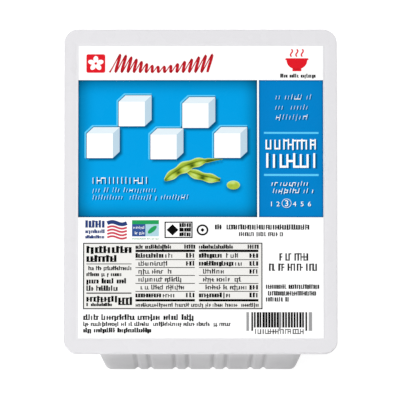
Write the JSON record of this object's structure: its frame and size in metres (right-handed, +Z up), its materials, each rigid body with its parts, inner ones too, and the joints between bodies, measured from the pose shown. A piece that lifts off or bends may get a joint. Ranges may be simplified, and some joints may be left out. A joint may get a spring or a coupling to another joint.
{
  "type": "sealed tofu tray pack",
  "caption": "Sealed tofu pack lying flat: a tapered tray with fluted walls, rounded corners and a wide flange, closed by a flat printed film.",
  "frame": {"origin": "middle of the underside, on the surface that the pack lies on", "axes": "+Z up through the film, +Y along the pack towards the head of the lid, +X across the pack"},
  "size_m": [0.116, 0.1464, 0.046],
  "materials": {
    "tray_plastic": "thermoformed white plastic with a soft satin gloss",
    "lid_film": "clear heat-sealed film, printed white and blue"
  },
  "bodies": {
    "root": {"tray": "tray_plastic", "lid_film": "lid_film"}
  },
  "joints": []
}
